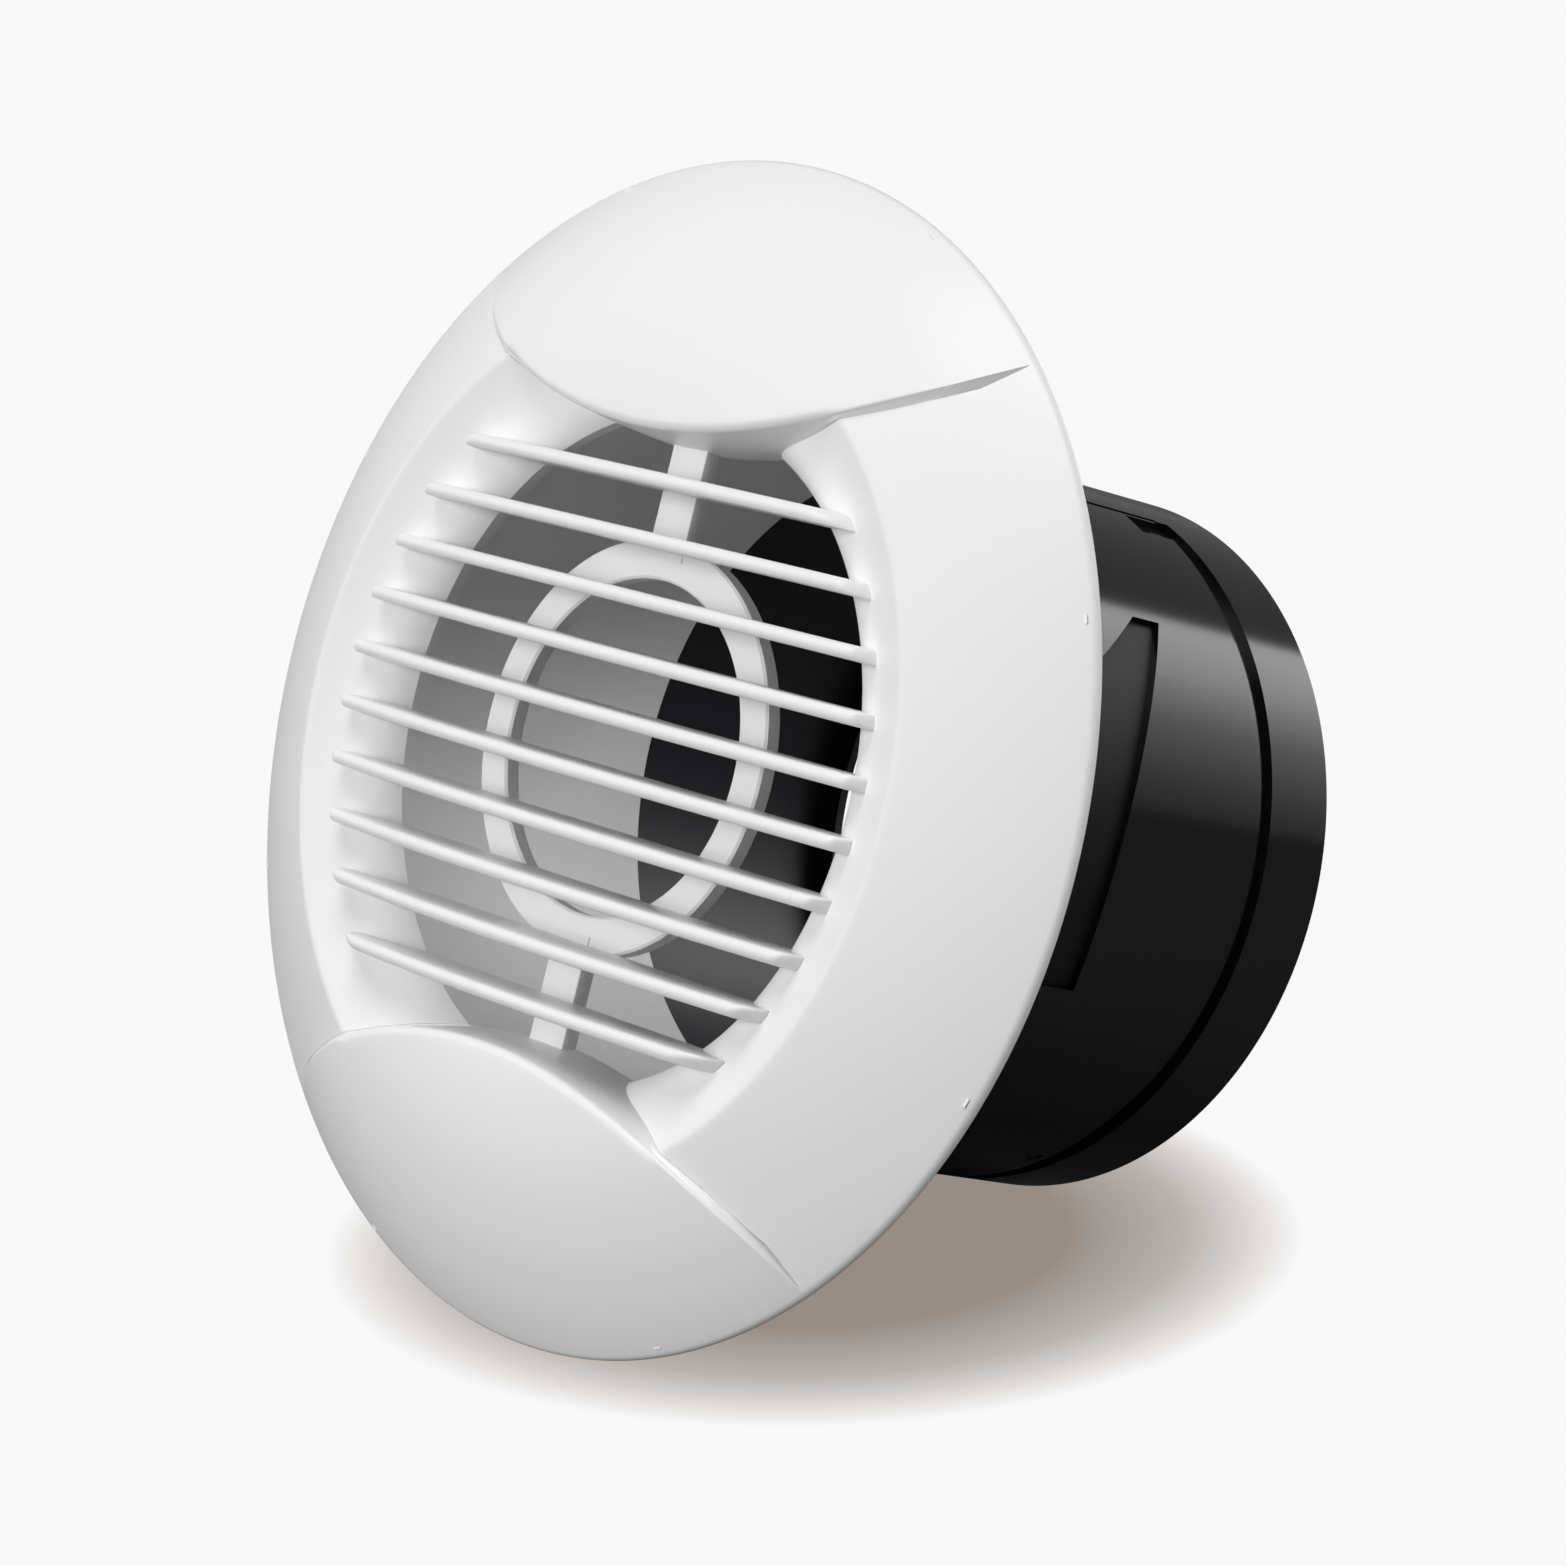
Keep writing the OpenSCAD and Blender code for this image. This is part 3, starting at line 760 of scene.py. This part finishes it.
def mark_block(bm, side):
    """Adds the cutter of one small round mark, below the level of the axis."""
    turn = Matrix.Rotation(math.radians(90 - side * 90 + side * MARK_ANGLE), 4, "Y")
    middle = Vector((SLEEVE_R + 1 - LINE_DEPTH, MARK_Y, 0)) * MM
    upright = Matrix.Rotation(math.pi / 2, 4, "Y")
    bmesh.ops.create_cone(bm, cap_ends=True, segments=32, radius1=MARK_R * MM, radius2=MARK_R * MM,
                          depth=2 * MM, matrix=turn @ Matrix.Translation(middle) @ upright)


def cutter_mesh(name, add_blocks):
    """Mesh of cutting blocks that don't overlap each other."""
    bm = bmesh.new()
    add_blocks(bm)
    bmesh.ops.recalc_face_normals(bm, faces=bm.faces)
    mesh = bpy.data.meshes.new(name)
    bm.to_mesh(mesh)
    bm.free()
    return mesh


def sunk_areas(bm):
    """The ring groove, the side pockets and the round marks."""
    block_mesh(bm, ring_cut(GROOVE_FRONT, GROOVE_REAR, SINK, 90 + STRIP_ANGLE, 450 - STRIP_ANGLE, 321))
    for side in (1, -1):
        pocket_block(bm, side)
        mark_block(bm, side)


def strip_edges(bm):
    """The fine lines beside the plain strip, and the notches at the groove's ends."""
    for side in (1, -1):
        near = 90 - side * (STRIP_ANGLE + LINE_ANGLE)
        far = 90 - side * (STRIP_ANGLE + NOTCH_ANGLE)
        block_mesh(bm, ring_cut(GROOVE_FRONT - NOTCH_L, GROOVE_FRONT + 1, SINK, near, far, 9))
        line = (90 - side * (STRIP_ANGLE - LINE_ANGLE / 2), 90 - side * (STRIP_ANGLE + LINE_ANGLE / 2))
        block_mesh(bm, ring_cut(-SLEEVE_LEAD - 1, GROOVE_FRONT + 1, LINE_DEPTH, *line, 3))


def cut(mesh, cutter):
    """Mesh with the cutter's volume taken away."""
    body = bpy.data.objects.new("uncut", mesh)
    tool = bpy.data.objects.new("cutter", cutter)
    for o in (body, tool):
        bpy.context.collection.objects.link(o)
    modifier = body.modifiers.new("cut", "BOOLEAN")
    modifier.operation = "DIFFERENCE"
    modifier.solver = "EXACT"
    modifier.object = tool
    bpy.context.view_layer.update()
    graph = bpy.context.evaluated_depsgraph_get()
    result = bpy.data.meshes.new_from_object(body.evaluated_get(graph), depsgraph=graph)
    bpy.data.objects.remove(body)
    bpy.data.objects.remove(tool)
    return result


sleeve_profile = [
    (sleeve_bore, SLEEVE_LEAD), (sleeve_bore, LIP_T - SLEEVE_L), (sleeve_bore - LIP_W, LIP_T - SLEEVE_L),
    (sleeve_bore - LIP_W, -SLEEVE_L), (SLEEVE_R - CHAMFER, -SLEEVE_L), (SLEEVE_R, CHAMFER - SLEEVE_L),
    (SLEEVE_R, SLEEVE_LEAD)]
plain_sleeve = grid_mesh("plain_sleeve", turned(sleeve_profile, all_round(360)), True, True)
finish_mesh(plain_sleeve)
sunk_sleeve = cut(plain_sleeve, cutter_mesh("sunk_areas", sunk_areas))
sleeve_mesh = finish_mesh(cut(sunk_sleeve, cutter_mesh("strip_edges", strip_edges)), 30)
sleeve_mesh.name = "sleeve_tube"
sleeve_mesh.materials.clear()
sleeve_mesh.materials.append(black_plastic)
sleeve_mesh.materials.append(matt_black_plastic)
sleeve_mesh.materials.append(bore_black_painted_lighter)
# Faces of the bore take the lighter purplish black, painted light for the dim light inside the tube.
for face in sleeve_mesh.polygons:
    middle = face.center / MM
    radius = math.hypot(middle.x, middle.z)
    in_pocket = POCKET["front"] < middle.y < POCKET["rear"] + 9 and abs(middle.x) > 40
    outward = (face.normal.x * middle.x + face.normal.z * middle.z) / radius
    is_floor = in_pocket and outward > 0.9 and radius < SLEEVE_R - SINK / 2
    is_bore = outward < -0.9
    face.material_index = 1 if is_floor else 2 if is_bore else 0
sleeve_tube = add_piece("sleeve_tube", sleeve_mesh, black_plastic, "sleeve")

# %% [markdown]
# ## Floor, light and camera
#
# The part lies on a pale table: it rests on the bottom of its rim and on the sleeve's lower rear edge, so
# in the part's own frame the table is a tilted plane. It can't be seen from below. To the camera the table
# is as white as the surround, with a painted round shadow close under the part, set by distance and not
# cast by any lamp. To all other rays it is a dull board, which keeps the lower side of the sleeve dark.
#
# A broad lamp in front lights the face and reaches in between the louvres, a higher one shades the face
# from top to bottom, and one behind it shines into the open end of the sleeve and on the collar's inside.
# The band of light on the sleeve is the reflection of a screen behind the part, which only reflections see.

# %%
TABLE_RISE = math.atan2(PANEL_R - SLEEVE_R, SLEEVE_L)
table_up = Vector((0, -math.sin(TABLE_RISE), math.cos(TABLE_RISE)))
table_along = Vector((0, math.cos(TABLE_RISE), math.sin(TABLE_RISE)))
table_point = Vector((0, 0, -PANEL_R)) * MM
SURROUND = "F8F8F8"
# The painted round shadow under the part: how far up the table its middle lies, its radius, and its tones
# outwards.
SHADE_UP = 0.068
SHADE_R = 0.085
SHADE_TONES = ((0.52, "968D86"), (0.76, "B9B2AD"), (0.88, "D7D3D0"), (1.0, SURROUND))
BOARD = "6E6C6A"

KEY = 1.88
TOP = 1.42
REAR = 1.8
AMBIENT = 0.14
MIRRORED = 0.22

SCREEN_Y = 1.0
SCREEN_SIZE = 2.4
# Glow of the screen by angle about the duct axis, in degrees above the level: sharp at the top, faded below.
SCREEN_GLOW = ((5, 0.1), (13, 0.2), (29, 0.62), (47, 1.4), (65, 3.2), (83, 3.6), (84.2, MIRRORED))


def two_way(tree, choice, first, second, x=0, y=0):
    """Mixes two shaders by a switch and returns the mixed output."""
    mix = add_node(tree, "ShaderNodeMixShader", x, y)
    tree.links.new(choice, mix.inputs[0])
    tree.links.new(first, mix.inputs[1])
    tree.links.new(second, mix.inputs[2])
    return mix.outputs[0]


def set_stops(ramp, stops):
    """Sets a colour ramp's stops from (position, colour) pairs in rising order."""
    elements = ramp.color_ramp.elements
    while len(elements) < len(stops):
        elements.new(0.5)
    for element, (position, colour) in zip(elements, stops):
        element.position = position
        element.color = colour


def table_material():
    """White with a painted soft shadow under the part to the camera, dull to other rays, clear from below."""
    material = bpy.data.materials.new("pale_table_board")
    material.use_nodes = True
    tree = material.node_tree
    tree.nodes.clear()
    out = add_node(tree, "ShaderNodeOutputMaterial", 800, 0)
    where = add_node(tree, "ShaderNodeTexCoord", -900, 200)
    away = add_node(tree, "ShaderNodeVectorMath", -700, 200, operation="DISTANCE")
    away.inputs[1].default_value = table_point + SHADE_UP * table_along
    share = math_node(tree, "DIVIDE", away.outputs["Value"], SHADE_R, -500, 200)
    ramp = add_node(tree, "ShaderNodeValToRGB", -300, 200)
    set_stops(ramp, [(position, srgb(tone)) for position, tone in SHADE_TONES])
    shown = add_node(tree, "ShaderNodeEmission", 0, 200, Strength=1.0)
    board = add_node(tree, "ShaderNodeBsdfDiffuse", 0, 0, Color=srgb(BOARD))
    clear = add_node(tree, "ShaderNodeBsdfTransparent", 0, -200)
    path = add_node(tree, "ShaderNodeLightPath", -300, 600)
    side = add_node(tree, "ShaderNodeNewGeometry", 0, 600)
    tree.links.new(where.outputs["Object"], away.inputs[0])
    tree.links.new(share, ramp.inputs["Fac"])
    tree.links.new(ramp.outputs["Color"], shown.inputs["Color"])
    seen = two_way(tree, path.outputs["Is Camera Ray"], board.outputs[0], shown.outputs[0], 300, 100)
    both = two_way(tree, side.outputs["Backfacing"], seen, clear.outputs[0], 550, 0)
    tree.links.new(both, out.inputs["Surface"])
    return material


def screen_material():
    """Glows by the angle about the duct axis, in reflections only."""
    material = bpy.data.materials.new("glowing_screen")
    material.use_nodes = True
    tree = material.node_tree
    tree.nodes.clear()
    out = add_node(tree, "ShaderNodeOutputMaterial", 900, 0)
    where = add_node(tree, "ShaderNodeTexCoord", -900, 0)
    part = add_node(tree, "ShaderNodeSeparateXYZ", -700, 0)
    tree.links.new(where.outputs["Object"], part.inputs[0])
    angle = math_node(tree, "ARCTAN2", part.outputs["Z"], part.outputs["X"], -500, 0)
    share = math_node(tree, "DIVIDE", angle, math.pi / 2, -300, 0)
    ramp = add_node(tree, "ShaderNodeValToRGB", -100, 0)
    peak = max(glow for _, glow in SCREEN_GLOW)
    set_stops(ramp, [(degrees / 90, (glow / peak, glow / peak, glow / peak, 1)) for degrees, glow in SCREEN_GLOW])
    light = add_node(tree, "ShaderNodeEmission", 200, 0, Strength=peak)
    clear = add_node(tree, "ShaderNodeBsdfTransparent", 200, -200)
    path = add_node(tree, "ShaderNodeLightPath", 200, 400)
    tree.links.new(share, ramp.inputs["Fac"])
    tree.links.new(ramp.outputs["Color"], light.inputs["Color"])
    shown = two_way(tree, path.outputs["Is Glossy Ray"], clear.outputs[0], light.outputs[0], 600, 0)
    tree.links.new(shown, out.inputs["Surface"])
    return material


def add_sheet(name, corners, material):
    """One flat stage piece from its four corners."""
    mesh = bpy.data.meshes.new(name)
    mesh.from_pydata(corners, [], [(0, 1, 2, 3)])
    mesh.materials.append(material)
    sheet = bpy.data.objects.new(name, mesh)
    bpy.context.collection.objects.link(sheet)
    return sheet


def add_table(size=6.0):
    side = Vector((1, 0, 0))
    corners = [table_point + size * (a * side + b * table_along) for a, b in ((-1, -1), (1, -1), (1, 1), (-1, 1))]
    table = add_sheet("table", corners, table_material())
    if table.data.polygons[0].normal.dot(table_up) < 0:
        table.data.flip_normals()


def add_screen():
    size = SCREEN_SIZE
    corners = [(0, 0, 0), (size, 0, 0), (size, 0, size), (0, 0, size)]
    screen = add_sheet("reflected_screen", corners, screen_material())
    screen.location.y = SCREEN_Y


def soft_lamp(name, towards, strength, softness, in_reflections):
    """Distant lamp in a direction from the part; softness is its width as an angle in degrees."""
    data = bpy.data.lights.new(name, "SUN")
    data.energy = strength
    data.angle = math.radians(softness)
    lamp = bpy.data.objects.new(name, data)
    bpy.context.collection.objects.link(lamp)
    lamp.rotation_euler = Vector(towards).to_track_quat("Z", "Y").to_euler()
    lamp.visible_glossy = in_reflections


def add_world():
    """White behind the part, and an even faint light from all round."""
    world = bpy.data.worlds.new("studio")
    bpy.context.scene.world = world
    world.use_nodes = True
    tree = world.node_tree
    tree.nodes.clear()
    out = add_node(tree, "ShaderNodeOutputWorld", 900, 0)
    even = add_node(tree, "ShaderNodeBackground", 0, 200, Color=srgb("FFFFFF"), Strength=AMBIENT)
    mirrored = add_node(tree, "ShaderNodeBackground", 0, 0, Color=srgb("FFFFFF"), Strength=MIRRORED)
    shown = add_node(tree, "ShaderNodeBackground", 0, -200, Color=srgb(SURROUND), Strength=1.0)
    path = add_node(tree, "ShaderNodeLightPath", 0, 600)
    unseen = two_way(tree, path.outputs["Is Glossy Ray"], even.outputs[0], mirrored.outputs[0], 300, 100)
    both = two_way(tree, path.outputs["Is Camera Ray"], unseen, shown.outputs[0], 600, 0)
    tree.links.new(both, out.inputs["Surface"])


CAMERA = dict(azimuth=46.789, elevation=1.966, roll=13.809, lens=111.66, distance=0.802775)
# Where the part's origin lies in the photograph, as shares of its width to the right of and below the middle.
ORIGIN_RIGHT, ORIGIN_DOWN = -0.08457, -0.019


def add_camera():
    data = bpy.data.cameras.new("camera")
    camera = bpy.data.objects.new("camera", data)
    bpy.context.collection.objects.link(camera)
    data.lens, data.sensor_width = CAMERA["lens"], 36
    a, e, roll = (math.radians(CAMERA[k]) for k in ("azimuth", "elevation", "roll"))
    back = Vector((math.sin(a) * math.cos(e), -math.cos(a) * math.cos(e), math.sin(e)))
    right = (-back).cross(Vector((0, 0, 1))).normalized()
    down = (-back).cross(right)
    rolled_right = math.cos(roll) * right - math.sin(roll) * down
    rolled_down = math.sin(roll) * right + math.cos(roll) * down
    reach = CAMERA["distance"]
    view = 36 / data.lens * reach
    place = back * reach - rolled_right * ORIGIN_RIGHT * view - rolled_down * ORIGIN_DOWN * view
    turn = Matrix((rolled_right, -rolled_down, back)).transposed()
    camera.matrix_world = Matrix.Translation(place) @ turn.to_4x4()
    bpy.context.scene.camera = camera
    return camera


add_table()
add_screen()
add_world()
soft_lamp("front_lamp", (-0.1, -0.99, 0.03), KEY, 20, False)
soft_lamp("upper_lamp", (0.05, -0.5, 0.86), TOP, 40, True)
soft_lamp("rear_lamp", (0.5, 0.75, 0.42), REAR, 30, False)
add_camera()
bpy.context.scene.view_settings.view_transform = "Standard"
print("table tilts by, degrees:", round(math.degrees(TABLE_RISE), 2))
